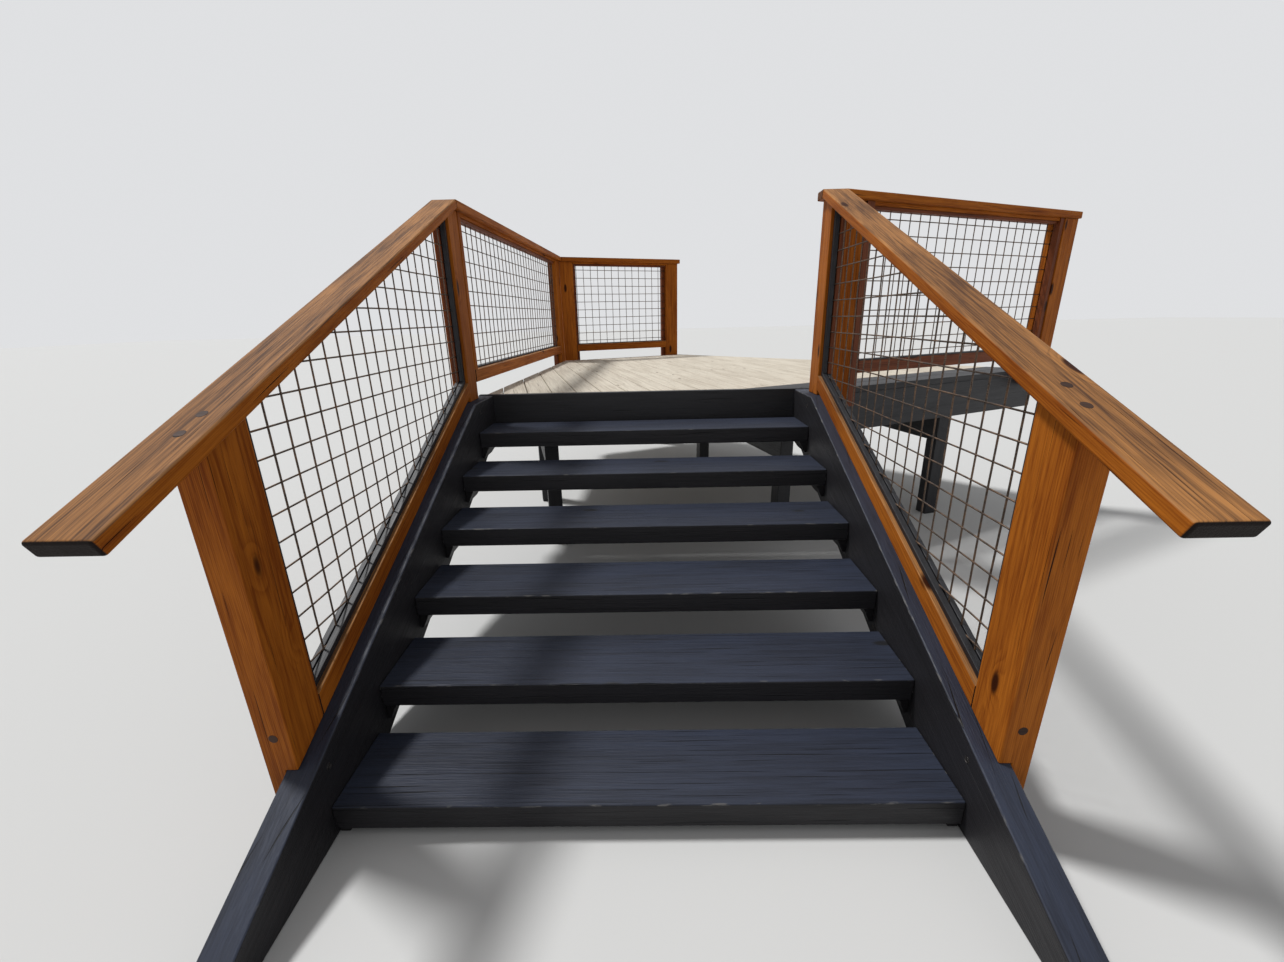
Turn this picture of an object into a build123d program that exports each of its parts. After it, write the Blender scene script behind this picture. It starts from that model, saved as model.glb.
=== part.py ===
"""Wooden deck stairs: a six-tread flight between plank stringers, with mesh guards and its deck head.

Millimetres. While it is laid out, X runs across the flight from its middle line, Y runs up the
flight from the front edge of the first tread, and Z is the height above the ground. At the end
everything is moved so that the origin is at the middle of the bounding box, on the ground.
"""

import math
import os

from build123d import *

# The flight
CLEAR_WIDTH = 1829.0
GOING = 330.0
RISE = 148.0
TREAD_COUNT = 6
TREAD_DEPTH = 280.0
TREAD_THICKNESS = 84.0
FIRST_TREAD_TOP = 110.0
SLOPE = RISE / GOING
PITCH = math.atan(SLOPE)

# Stringers
STRINGER_THICKNESS = 88.0
STRINGER_DEPTH = 337.0
STRINGER_ABOVE_NOSINGS = 155.0
STRINGER_TOE = 500.0
STRINGER_HEAD_TOP = 1010.0

# Cleats under the tread ends
CLEAT_WIDTH = 42.0
CLEAT_FOOT_WIDTH = 12.0
CLEAT_HEIGHT = 65.0
CLEAT_SETBACK = 14.0
CLEAT_LENGTH = 240.0

# Posts, of one section throughout
POST_FACE = 140.0
POST_THICKNESS = 89.0
POST_OFFSET = 52.0
LOWER_POST_FRONT = -10.0
UPPER_POST_FRONT = 1730.0
POST_TAIL = 100.0

# Handrails and level caps
RAIL_WIDTH = 130.0
RAIL_THICKNESS = 42.0
RAIL_INNER_OVERHANG = 29.0
HANDRAIL_ABOVE_NOSINGS = 1127.0
HANDRAIL_LOWER_END = -310.0
CAP_TOP_ABOVE_DECK = 1030.0

# Bottom rails, strips and wire mesh
BOTTOM_RAIL_THICKNESS = 38.0
BOTTOM_RAIL_HEIGHT = 70.0
STRIP_SIZE = 38.0
STRIP_RISE = 8.0
STRIP_JOINT = 3.0
WIRE = 5.0
WIRE_CLEARANCE = 0.3
MESH_CELL = 79.0
MESH_PHASE_RIGHT = (219.8, 1189.3)
MESH_PHASE_LEFT = (244.0, 1341.7)
GUARD_RAIL_GAP = 92.0

# Deck
DECK_HEIGHT = 1014.0
BOARD_THICKNESS = 38.0
BOARD_DIRECTION = 105.0
BORDER_WIDTH = 286.0
BORDER_JOINT = 3.0
RIM_DEPTH = 235.0
RIM_THICKNESS = 38.0
JOIST_DEPTH = 184.0
JOIST_THICKNESS = 38.0
JOIST_SPACING = 406.0
SHORTEST_JOIST = 300.0
BEAM_DEPTH = 235.0
BEAM_THICKNESS = 88.0
SUPPORT_POST = 89.0
SUPPORT_SPACING = 1500.0
FIT_CLEARANCE = 0.3
BEAM_STARTS = [(-600.0, 2060.0), (900.0, 2060.0), (2100.0, 2500.0)]

# Guards round the deck: how far the runs reach, and the way they turn, seen from above
RIGHT_GUARD_DIRECTION = 24.5
RIGHT_GUARD_LENGTH = 2050.0
FRONT_RIGHT_POST_GAP = 7.0
LEFT_CORNER = (-822.0, 4446.0)
FAR_GUARD_DIRECTION = 24.1
FAR_GUARD_LENGTH = 1357.0
DECK_PAST_GUARDS = 24.0

# Worked out from the sizes above
FASCIA_FRONT = TREAD_COUNT * GOING
SLOPE_FACTOR = 1 / math.cos(PITCH)
STRINGER_TOP_LINE = FIRST_TREAD_TOP + STRINGER_ABOVE_NOSINGS
STRINGER_UNDERSIDE_LINE = STRINGER_TOP_LINE - STRINGER_DEPTH * SLOPE_FACTOR
STRINGER_INNER = CLEAR_WIDTH / 2
STRINGER_OUTER = STRINGER_INNER + STRINGER_THICKNESS
POST_INNER = STRINGER_INNER + POST_OFFSET
POST_OUTER = POST_INNER + POST_THICKNESS
RAIL_INNER = POST_INNER - RAIL_INNER_OVERHANG
RAIL_OUTER = RAIL_INNER + RAIL_WIDTH
HANDRAIL_TOP_LINE = FIRST_TREAD_TOP + HANDRAIL_ABOVE_NOSINGS
HANDRAIL_UNDERSIDE_LINE = HANDRAIL_TOP_LINE - RAIL_THICKNESS * SLOPE_FACTOR
CAP_TOP = DECK_HEIGHT + CAP_TOP_ABOVE_DECK
CAP_UNDERSIDE = CAP_TOP - RAIL_THICKNESS
MITRE_TOP = (CAP_TOP - HANDRAIL_TOP_LINE) / SLOPE
MITRE_UNDERSIDE = (CAP_UNDERSIDE - HANDRAIL_UNDERSIDE_LINE) / SLOPE
LOWER_POST_BACK = LOWER_POST_FRONT + POST_FACE
UPPER_POST_BACK = UPPER_POST_FRONT + POST_FACE
MESH_INNER = POST_INNER + BOTTOM_RAIL_THICKNESS
MESH_OUTER = MESH_INNER + WIRE + 2 * WIRE_CLEARANCE
STRIP_OUTER = MESH_OUTER + STRIP_SIZE
BOTTOM_RAIL_TOP_LINE = STRINGER_TOP_LINE + BOTTOM_RAIL_HEIGHT * SLOPE_FACTOR
STRIP_TOP_LINE = BOTTOM_RAIL_TOP_LINE + STRIP_RISE * SLOPE_FACTOR
BOARDS_UNDERSIDE = DECK_HEIGHT - BOARD_THICKNESS
GUARD_RAIL_BOTTOM = DECK_HEIGHT + GUARD_RAIL_GAP
GUARD_RAIL_TOP = GUARD_RAIL_BOTTOM + BOTTOM_RAIL_HEIGHT
GUARD_STRIP_TOP = GUARD_RAIL_TOP + STRIP_RISE
POST_BOTTOM = DECK_HEIGHT - POST_TAIL


def side_prism(points, x_from, x_to):
    """A prism between two X planes, from an outline in (Y, Z)."""
    outline = Plane.YZ.offset(x_from) * make_face(Polyline(*points, close=True))
    return extrude(outline, amount=x_to - x_from)


def plan_prism(points, z_from, z_to):
    """A prism between two heights, from an outline in (X, Y)."""
    outline = Plane.XY.offset(z_from) * make_face(Polyline(*points, close=True))
    return extrude(outline, amount=z_to - z_from)


def both_together(shapes):
    """The pieces on the right-hand side and their mirror images, as one sub-part."""
    return Compound(children=shapes + [mirror(shape, about=Plane.YZ) for shape in shapes])


def on_both_sides(shape):
    """The left and the right copy of something modelled on the right-hand side."""
    return {"left": mirror(shape, about=Plane.YZ), "right": shape}


def unit(direction):
    """The unit vector in plan of a direction in degrees."""
    angle = math.radians(direction)
    return (math.cos(angle), math.sin(angle))


def along(start, direction, ahead, aside=0.0):
    """The plan point so far ahead along a direction from a start, and so far to its left."""
    ux, uy = unit(direction)
    return (start[0] + ahead * ux - aside * uy, start[1] + ahead * uy + aside * ux)


def crossing(point, direction, other, other_direction):
    """Where two lines in plan cross."""
    ux, uy = unit(direction)
    vx, vy = unit(other_direction)
    turn = ux * vy - uy * vx
    ahead = ((other[0] - point[0]) * vy - (other[1] - point[1]) * vx) / turn
    return (point[0] + ahead * ux, point[1] + ahead * uy)


def heading(start, end):
    """The direction in degrees from one plan point to another."""
    return math.degrees(math.atan2(end[1] - start[1], end[0] - start[0]))


def bar_outline(start, direction, ahead, aside):
    """A bar's plan: (from, to) ahead of the start along a direction and (from, to) to its left."""
    return [along(start, direction, ahead[0], aside[0]), along(start, direction, ahead[1], aside[0]),
            along(start, direction, ahead[1], aside[1]), along(start, direction, ahead[0], aside[1])]


def bar(start, direction, ahead, aside, heights):
    """A straight bar with square ends along a direction in plan."""
    return plan_prism(bar_outline(start, direction, ahead, aside), *heights)


def fitted_bar(start, direction, cut, length, aside, heights):
    """A bar whose near end is cut to a face that runs through the start in another direction."""
    near = [crossing(along(start, direction, 0, side), direction, start, cut) for side in aside]
    far = [along(start, direction, length, side) for side in aside]
    return plan_prism([near[0], far[0], far[1], near[1]], *heights)


def sloped_band(y_from, y_to, line_from, line_to, x_from, x_to):
    """A plumb-ended board that follows the flight between two sloped lines."""
    points = [(y_from, line_from + SLOPE * y_from), (y_to, line_from + SLOPE * y_to),
              (y_to, line_to + SLOPE * y_to), (y_from, line_to + SLOPE * y_from)]
    return side_prism(points, x_from, x_to)


# Stringers, treads and cleats

def stringer_outline():
    """The stringer's side: plumb nose, sloped top, level head, plumb end, sloped underside, foot."""
    foot_end = -STRINGER_UNDERSIDE_LINE / SLOPE
    head_start = (STRINGER_HEAD_TOP - STRINGER_TOP_LINE) / SLOPE
    return [(-STRINGER_TOE, 0), (-STRINGER_TOE, STRINGER_TOP_LINE - SLOPE * STRINGER_TOE),
            (head_start, STRINGER_HEAD_TOP), (FASCIA_FRONT, STRINGER_HEAD_TOP),
            (FASCIA_FRONT, STRINGER_UNDERSIDE_LINE + SLOPE * FASCIA_FRONT), (foot_end, 0)]


def tread(number):
    """One thick tread; its front edge is on the nosing line."""
    front = (number - 1) * GOING
    top = FIRST_TREAD_TOP + (number - 1) * RISE
    return Pos(0, front + TREAD_DEPTH / 2, top - TREAD_THICKNESS / 2) * Box(
        CLEAR_WIDTH, TREAD_DEPTH, TREAD_THICKNESS)


def tread_cleats():
    """The tapered blocks on the right stringer's inner face that the treads rest on."""
    face_of_stringer = side_prism(stringer_outline(), STRINGER_INNER - CLEAT_WIDTH, STRINGER_INNER)
    cleats = []
    for number in range(1, TREAD_COUNT + 1):
        front = (number - 1) * GOING + CLEAT_SETBACK
        top = FIRST_TREAD_TOP + (number - 1) * RISE - TREAD_THICKNESS
        section = [(STRINGER_INNER, top), (STRINGER_INNER - CLEAT_WIDTH, top),
                   (STRINGER_INNER - CLEAT_FOOT_WIDTH, top - CLEAT_HEIGHT),
                   (STRINGER_INNER, top - CLEAT_HEIGHT)]
        face = Plane.XZ.offset(-front) * make_face(Polyline(*section, close=True))
        cleats += (extrude(face, amount=-CLEAT_LENGTH) & face_of_stringer).solids()
    return cleats


# Posts and rails of the flight

def lower_post():
    """The post near the foot: it laps the stringer's outer face and is cut to the handrail."""
    tail = STRINGER_TOP_LINE - POST_TAIL
    inner = sloped_band(LOWER_POST_FRONT, LOWER_POST_BACK, STRINGER_TOP_LINE,
                        HANDRAIL_UNDERSIDE_LINE, POST_INNER, STRINGER_OUTER)
    outer = side_prism([(LOWER_POST_FRONT, tail), (LOWER_POST_BACK, tail),
                        (LOWER_POST_BACK, HANDRAIL_UNDERSIDE_LINE + SLOPE * LOWER_POST_BACK),
                        (LOWER_POST_FRONT, HANDRAIL_UNDERSIDE_LINE + SLOPE * LOWER_POST_FRONT)],
                       STRINGER_OUTER, POST_OUTER)
    return inner + outer


def upper_post():
    """The post at the head: under the handrail's mitre, lapping the stringer's level head."""
    def side(bottom, x_from, x_to):
        points = [(UPPER_POST_FRONT, bottom), (UPPER_POST_BACK, bottom),
                  (UPPER_POST_BACK, CAP_UNDERSIDE), (MITRE_UNDERSIDE, CAP_UNDERSIDE),
                  (UPPER_POST_FRONT, HANDRAIL_UNDERSIDE_LINE + SLOPE * UPPER_POST_FRONT)]
        return side_prism(points, x_from, x_to)

    return (side(STRINGER_HEAD_TOP, POST_INNER, STRINGER_OUTER)
            + side(STRINGER_HEAD_TOP - POST_TAIL, STRINGER_OUTER, POST_OUTER))


def handrail():
    """The sloped rail: cut square at its foot and mitred to the level cap at its head."""
    foot_top = (HANDRAIL_LOWER_END, HANDRAIL_TOP_LINE + SLOPE * HANDRAIL_LOWER_END)
    foot_bottom = (foot_top[0] + RAIL_THICKNESS * math.sin(PITCH),
                   foot_top[1] - RAIL_THICKNESS * math.cos(PITCH))
    points = [foot_bottom, (MITRE_UNDERSIDE, CAP_UNDERSIDE), (MITRE_TOP, CAP_TOP), foot_top]
    return side_prism(points, RAIL_INNER, RAIL_OUTER)


def stair_bottom_rail():
    """The rail that lies along the stringer's top, between the posts."""
    return sloped_band(LOWER_POST_BACK, UPPER_POST_FRONT, STRINGER_TOP_LINE,
                       BOTTOM_RAIL_TOP_LINE, POST_INNER, MESH_INNER)


def stair_black_strips():
    """The black strips: a thin one on the outer batten's top, two inside the mesh at the posts."""
    outside = sloped_band(LOWER_POST_BACK, UPPER_POST_FRONT, BOTTOM_RAIL_TOP_LINE,
                          STRIP_TOP_LINE, MESH_OUTER, STRIP_OUTER)
    inside = [sloped_band(start, start + STRIP_SIZE, BOTTOM_RAIL_TOP_LINE,
                          HANDRAIL_UNDERSIDE_LINE, POST_INNER, MESH_INNER)
              for start in (LOWER_POST_BACK, UPPER_POST_FRONT - STRIP_SIZE)]
    return [outside, *inside]


def stair_nailers():
    """Outside the mesh: the batten along the bottom rail, and the upright strips at the posts."""
    batten = sloped_band(LOWER_POST_BACK, UPPER_POST_FRONT, STRINGER_TOP_LINE,
                         BOTTOM_RAIL_TOP_LINE, MESH_OUTER, STRIP_OUTER)
    start = STRIP_TOP_LINE + STRIP_JOINT * SLOPE_FACTOR
    lower = sloped_band(LOWER_POST_BACK, LOWER_POST_BACK + STRIP_SIZE, start,
                        HANDRAIL_UNDERSIDE_LINE, MESH_OUTER, STRIP_OUTER)
    upper = sloped_band(UPPER_POST_FRONT - STRIP_SIZE, UPPER_POST_FRONT, start,
                        HANDRAIL_UNDERSIDE_LINE, MESH_OUTER, STRIP_OUTER)
    return [batten, lower, upper]


# Wire mesh: square bars fused where they cross

def steps_between(phase, low, high):
    """The places of wires at the mesh's cell, through a phase, between two bounds."""
    first = math.ceil((low - phase) / MESH_CELL)
    last = math.floor((high - phase) / MESH_CELL)
    return [phase + MESH_CELL * step for step in range(first, last + 1)]


def wire_grid(outline, phase):
    """The flat grid of upright and level wires within an outline, thick as one wire."""
    panel = make_face(Polyline(*outline, close=True))
    low, high = panel.bounding_box().min, panel.bounding_box().max
    middle = ((low.X + high.X) / 2, (low.Y + high.Y) / 2)
    upright = [Pos(x, middle[1]) * Rectangle(WIRE, high.Y - low.Y)
               for x in steps_between(phase[0], low.X + WIRE, high.X - WIRE)]
    level = [Pos(middle[0], y) * Rectangle(high.X - low.X, WIRE)
             for y in steps_between(phase[1], low.Y + WIRE, high.Y - WIRE)]
    bars = upright[0].fuse(*upright[1:], *level)
    return extrude(bars & panel, amount=WIRE)


def stair_mesh(phase):
    """The sloped panel between the stair posts, from the stringer's top to the handrail."""
    low, high = LOWER_POST_BACK, UPPER_POST_FRONT
    outline = [(low, STRINGER_TOP_LINE + SLOPE * low), (high, STRINGER_TOP_LINE + SLOPE * high),
               (high, HANDRAIL_UNDERSIDE_LINE + SLOPE * high),
               (low, HANDRAIL_UNDERSIDE_LINE + SLOPE * low)]
    grid = wire_grid(outline, phase)
    return Plane.YZ.offset(MESH_INNER + WIRE_CLEARANCE) * grid


# Plan of the deck and its guards

LEFT_CAP_START = (-RAIL_INNER, MITRE_TOP)
LEFT_GUARD_DIRECTION = heading(LEFT_CAP_START, LEFT_CORNER)
LEFT_FACE_START = along(LEFT_CAP_START, LEFT_GUARD_DIRECTION, 0, RAIL_INNER_OVERHANG)
FAR_FACE_POINT = along(LEFT_CORNER, FAR_GUARD_DIRECTION, 0, RAIL_INNER_OVERHANG)
FACE_CORNER = crossing(LEFT_FACE_START, LEFT_GUARD_DIRECTION, FAR_FACE_POINT, FAR_GUARD_DIRECTION)
RIGHT_CAP_START = (RAIL_OUTER, MITRE_TOP)
RIGHT_FACE_START = along(RIGHT_CAP_START, RIGHT_GUARD_DIRECTION, 0,
                         RAIL_WIDTH - RAIL_INNER_OVERHANG)
FRONT_RIGHT_POST_LEFT = POST_OUTER + FRONT_RIGHT_POST_GAP
RIGHT_CAP_END = along(RIGHT_CAP_START, RIGHT_GUARD_DIRECTION, RIGHT_GUARD_LENGTH)
FAR_CAP_END = along(LEFT_CORNER, FAR_GUARD_DIRECTION, FAR_GUARD_LENGTH)


def deck_outline():
    """The deck's plan: front, right edge, back edge along the house line, far and left edges."""
    front = (0, FASCIA_FRONT)
    return [crossing(FACE_CORNER, LEFT_GUARD_DIRECTION, front, 0),
            crossing(RIGHT_FACE_START, RIGHT_GUARD_DIRECTION, front, 0),
            along(RIGHT_FACE_START, RIGHT_GUARD_DIRECTION, RIGHT_GUARD_LENGTH + DECK_PAST_GUARDS),
            along(FACE_CORNER, FAR_GUARD_DIRECTION, FAR_GUARD_LENGTH + DECK_PAST_GUARDS),
            FACE_CORNER]


def inset(outline, distance):
    """The same outline with each of its edges moved inwards by a distance."""
    moved = []
    count = len(outline)
    for index in range(count):
        before, here, after = outline[index - 1], outline[index], outline[(index + 1) % count]
        one, two = heading(before, here), heading(here, after)
        moved.append(crossing(along(here, one, 0, distance), one,
                              along(here, two, 0, distance), two))
    return moved


DECK = deck_outline()
DECK_INSIDE = inset(DECK, RIM_THICKNESS)
JOIST_ROOM = inset(DECK, RIM_THICKNESS + FIT_CLEARANCE)


BEHIND_FASCIA = (0, FASCIA_FRONT + RIM_THICKNESS)
LEFT_BEHIND_FASCIA = crossing(DECK[0], LEFT_GUARD_DIRECTION, BEHIND_FASCIA, 0)


def deck_edges():
    """The front fascia, flush with the boards' top, and the four rims under the boards."""
    bottom = BOARDS_UNDERSIDE - RIM_DEPTH
    left_inside = crossing(DECK_INSIDE[0], LEFT_GUARD_DIRECTION, BEHIND_FASCIA, 0)
    fascia = [(-STRINGER_OUTER, FASCIA_FRONT), DECK[1], DECK_INSIDE[1],
              (-STRINGER_OUTER, BEHIND_FASCIA[1])]
    edges = {"deck_fascia_front": plan_prism(fascia, bottom, DECK_HEIGHT)}
    for index, name in ((1, "right"), (2, "back"), (3, "far")):
        points = [DECK[index], DECK[index + 1], DECK_INSIDE[index + 1], DECK_INSIDE[index]]
        edges[f"deck_rim_{name}"] = plan_prism(points, bottom, BOARDS_UNDERSIDE)
    edges["deck_rim_left"] = plan_prism(
        [DECK[4], LEFT_BEHIND_FASCIA, left_inside, DECK_INSIDE[4]], bottom, BOARDS_UNDERSIDE)
    return edges


def deck_surface():
    """The boards as one slab behind the fascia, and the border boards along the right rim."""
    back = heading(DECK[2], DECK[3])

    def line_inside(distance):
        beside = along(DECK[1], RIGHT_GUARD_DIRECTION, 0, distance)
        return [crossing(beside, RIGHT_GUARD_DIRECTION, BEHIND_FASCIA, 0),
                crossing(beside, RIGHT_GUARD_DIRECTION, DECK[2], back)]

    border = [DECK_INSIDE[1], DECK[1], DECK[2], *reversed(line_inside(BORDER_WIDTH))]
    boards = [LEFT_BEHIND_FASCIA, *line_inside(BORDER_WIDTH + BORDER_JOINT), DECK[3], DECK[4]]
    return {"deck_boards": plan_prism(boards, BOARDS_UNDERSIDE, DECK_HEIGHT),
            "deck_border_right": plan_prism(border, BOARDS_UNDERSIDE, DECK_HEIGHT)}


def clipped_line(point, direction, outline):
    """How far back and ahead of a point a line stays inside a convex outline."""
    back, ahead = -math.inf, math.inf
    ux, uy = unit(direction)
    for index in range(len(outline)):
        here, after = outline[index], outline[(index + 1) % len(outline)]
        nx, ny = here[1] - after[1], after[0] - here[0]
        speed = nx * ux + ny * uy
        room = nx * (point[0] - here[0]) + ny * (point[1] - here[1])
        if speed > 0:
            back = max(back, -room / speed)
        elif speed < 0:
            ahead = min(ahead, -room / speed)
    return back, ahead


def inside_reach(start, direction, aside, outline):
    """How far back and ahead both long sides of a square-ended timber stay inside an outline."""
    reaches = [clipped_line(along(start, direction, 0, side), direction, outline)
               for side in aside]
    return max(back for back, ahead in reaches), min(ahead for back, ahead in reaches)


def deck_joists():
    """The joists across the boards, sawn square just inside the rims."""
    joists = []
    rows = round(math.dist(DECK[0], DECK[2]) / JOIST_SPACING)
    heights = (BOARDS_UNDERSIDE - JOIST_DEPTH, BOARDS_UNDERSIDE)
    aside = (0, JOIST_THICKNESS)
    for row in range(-rows, rows):
        start = along(DECK[0], BOARD_DIRECTION, row * JOIST_SPACING)
        ends = inside_reach(start, BOARD_DIRECTION - 90, aside, JOIST_ROOM)
        if ends[1] - ends[0] > SHORTEST_JOIST:
            joists.append(bar(start, BOARD_DIRECTION - 90, ends, aside, heights))
    return joists


def deck_beams_and_posts():
    """The beams under the joists and the square posts under the beams."""
    top = BOARDS_UNDERSIDE - JOIST_DEPTH
    beams, posts = [], []
    beam_aside = (-BEAM_THICKNESS / 2, BEAM_THICKNESS / 2)
    post_aside = (-SUPPORT_POST / 2, SUPPORT_POST / 2)
    for start in BEAM_STARTS:
        back, ahead = inside_reach(start, BOARD_DIRECTION, beam_aside, JOIST_ROOM)
        beams.append(bar(start, BOARD_DIRECTION, (back, ahead), beam_aside,
                         (top - BEAM_DEPTH, top)))
        bays = math.ceil((ahead - SUPPORT_POST - back) / SUPPORT_SPACING)
        bay = (ahead - SUPPORT_POST - back) / bays
        for number in range(bays + 1):
            foot = back + number * bay
            posts.append(bar(start, BOARD_DIRECTION, (foot, foot + SUPPORT_POST), post_aside,
                             (0, top - BEAM_DEPTH)))
    return beams, posts


def guard_run(start, direction, cut, length, outward, heights):
    """A level guard's bottom rail, outer batten, strips, nailers and mesh, along its posts.

    The near ends are cut to the face of the post there, and outward is 1 where the guard stands
    to the left of its direction, or -1.
    """
    def piece(reach, near, far, z_from, z_to):
        return fitted_bar(start, direction, cut, reach, (outward * near, outward * far),
                          (z_from, z_to))

    def face_reach(*offsets):
        lean = math.tan(math.radians(cut - direction))
        return max(outward * offset / lean for offset in offsets)

    mesh_near = BOTTOM_RAIL_THICKNESS + WIRE_CLEARANCE
    strip_near = mesh_near + WIRE + WIRE_CLEARANCE
    strip_far = strip_near + STRIP_SIZE
    rail = piece(length, 0, BOTTOM_RAIL_THICKNESS, *heights)
    near_end = STRIP_SIZE + face_reach(strip_near, strip_far)
    near_inner_end = STRIP_SIZE + face_reach(0, BOTTOM_RAIL_THICKNESS)
    far_end = length - STRIP_SIZE
    strip_aside = (outward * strip_near, outward * strip_far)
    between = (near_end + STRIP_JOINT, far_end - STRIP_JOINT)
    batten = bar(start, direction, between, strip_aside, heights)
    strip = bar(start, direction, between, strip_aside, (GUARD_RAIL_TOP, GUARD_STRIP_TOP))
    nailer_heights = (POST_BOTTOM, CAP_UNDERSIDE)
    near_nailer = piece(near_end, strip_near, strip_far, *nailer_heights)
    far_nailer = bar(start, direction, (far_end, length), strip_aside, nailer_heights)
    inner_heights = (GUARD_RAIL_TOP, CAP_UNDERSIDE)
    near_inner = piece(near_inner_end, 0, BOTTOM_RAIL_THICKNESS, *inner_heights)
    far_inner = bar(start, direction, (far_end, length), (0, outward * BOTTOM_RAIL_THICKNESS),
                    inner_heights)

    grid_line = along(start, direction, 0, outward * (mesh_near + WIRE / 2))
    grid_start = crossing(grid_line, direction, start, cut)
    grid_length = length - math.dist(grid_start, grid_line) - WIRE
    outline = [(0, heights[0]), (grid_length, heights[0]), (grid_length, CAP_UNDERSIDE),
               (0, CAP_UNDERSIDE)]
    phase = (MESH_CELL / 2, GUARD_RAIL_TOP + MESH_CELL / 2)
    grid = Pos(0, 0, -WIRE / 2) * wire_grid(outline, phase)
    ux, uy = unit(direction)
    plane = Plane(origin=(*along(grid_start, direction, WIRE), 0), x_dir=(ux, uy, 0),
                  z_dir=(uy, -ux, 0))
    return {"rail": rail, "strip": strip, "nailers": [batten, near_nailer, far_nailer],
            "inner_strips": [near_inner, far_inner], "mesh": plane * grid}


def guard_posts():
    """The guards' posts, all on the outer faces of the fascia and the rims."""
    heights = (POST_BOTTOM, CAP_UNDERSIDE)
    end = RIGHT_GUARD_LENGTH - RAIL_OUTER + POST_OUTER
    far = FAR_GUARD_LENGTH
    front_right = bar((FRONT_RIGHT_POST_LEFT, FASCIA_FRONT), 0, (0, POST_FACE),
                      (-POST_THICKNESS, 0), heights)
    end_right = bar(RIGHT_FACE_START, RIGHT_GUARD_DIRECTION, (end - POST_FACE, end),
                    (-POST_THICKNESS, 0), heights)
    corner_left = bar(FACE_CORNER, LEFT_GUARD_DIRECTION, (-POST_FACE, 0), (0, POST_THICKNESS),
                      heights)
    corner_far = bar(FACE_CORNER, FAR_GUARD_DIRECTION, (STRIP_JOINT, STRIP_JOINT + POST_FACE),
                     (0, POST_THICKNESS), heights)
    end_far = bar(FACE_CORNER, FAR_GUARD_DIRECTION, (far - POST_FACE, far), (0, POST_THICKNESS),
                  heights)
    return {"guard_post_front_right": front_right,
            "guard_corner_posts": Compound(children=[corner_left, corner_far]),
            "guard_end_posts": Compound(children=[end_right, end_far])}


def guard_caps():
    """The level caps: each starts at a handrail's mitre, and two are mitred at the corner."""
    handrail_end = side_prism(
        [(MITRE_TOP - RAIL_THICKNESS, CAP_TOP), (MITRE_TOP, CAP_TOP),
         (MITRE_UNDERSIDE, CAP_UNDERSIDE), (MITRE_TOP - RAIL_THICKNESS, CAP_UNDERSIDE)],
        -2 * RAIL_OUTER, 2 * RAIL_OUTER)
    back_edge = along(RIGHT_CAP_END, RIGHT_GUARD_DIRECTION, 0, RAIL_WIDTH)
    right = [(RAIL_INNER, MITRE_TOP), RIGHT_CAP_START, RIGHT_CAP_END, back_edge,
             crossing(back_edge, RIGHT_GUARD_DIRECTION, (RAIL_INNER, MITRE_TOP), 90)]
    left_outer = along(LEFT_CAP_START, LEFT_GUARD_DIRECTION, 0, RAIL_WIDTH)
    far_outer = along(LEFT_CORNER, FAR_GUARD_DIRECTION, 0, RAIL_WIDTH)
    outer_corner = crossing(left_outer, LEFT_GUARD_DIRECTION, far_outer, FAR_GUARD_DIRECTION)
    left = [LEFT_CAP_START, LEFT_CORNER, outer_corner,
            crossing(left_outer, LEFT_GUARD_DIRECTION, LEFT_CAP_START, 0)]
    far = [LEFT_CORNER, FAR_CAP_END, along(FAR_CAP_END, FAR_GUARD_DIRECTION, 0, RAIL_WIDTH),
           outer_corner]
    return {"guard_cap_right": plan_prism(right, CAP_UNDERSIDE, CAP_TOP) - handrail_end,
            "guard_cap_left": plan_prism(left, CAP_UNDERSIDE, CAP_TOP) - handrail_end,
            "guard_cap_far": plan_prism(far, CAP_UNDERSIDE, CAP_TOP)}


def guard_infill():
    """The bottom rails, strips, nailers and mesh of the three guards, by node name."""
    heights = (GUARD_RAIL_BOTTOM, GUARD_RAIL_TOP)
    left_start = crossing(LEFT_FACE_START, LEFT_GUARD_DIRECTION, (0, UPPER_POST_BACK), 0)
    left_length = math.dist(left_start, FACE_CORNER) - POST_FACE
    far_start = along(FACE_CORNER, FAR_GUARD_DIRECTION, STRIP_JOINT + POST_FACE)
    far_length = FAR_GUARD_LENGTH - 2 * POST_FACE - STRIP_JOINT
    post_side = (FRONT_RIGHT_POST_LEFT + POST_FACE, FASCIA_FRONT)
    right_start = crossing(RIGHT_FACE_START, RIGHT_GUARD_DIRECTION, post_side, 90)
    right_length = (RIGHT_GUARD_LENGTH - RAIL_OUTER + POST_OUTER - POST_FACE
                    - math.dist(RIGHT_FACE_START, right_start))
    runs = {
        "left": guard_run(left_start, LEFT_GUARD_DIRECTION, 0, left_length, 1, heights),
        "far": guard_run(far_start, FAR_GUARD_DIRECTION, FAR_GUARD_DIRECTION + 90, far_length, 1,
                         heights),
        "right": guard_run(right_start, RIGHT_GUARD_DIRECTION, 90, right_length, -1, heights)}
    nodes = {
        "guard_nailers": Compound(
            children=[piece for run in runs.values() for piece in run["nailers"]]),
        "guard_inner_strips": Compound(
            children=[piece for name in ("left", "right") for piece in runs[name]["inner_strips"]])}
    for name, run in runs.items():
        nodes[f"guard_bottom_rail_{name}"] = run["rail"]
        nodes[f"guard_mesh_strip_{name}"] = run["strip"]
        nodes[f"guard_mesh_{name}"] = run["mesh"]
    return nodes


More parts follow.
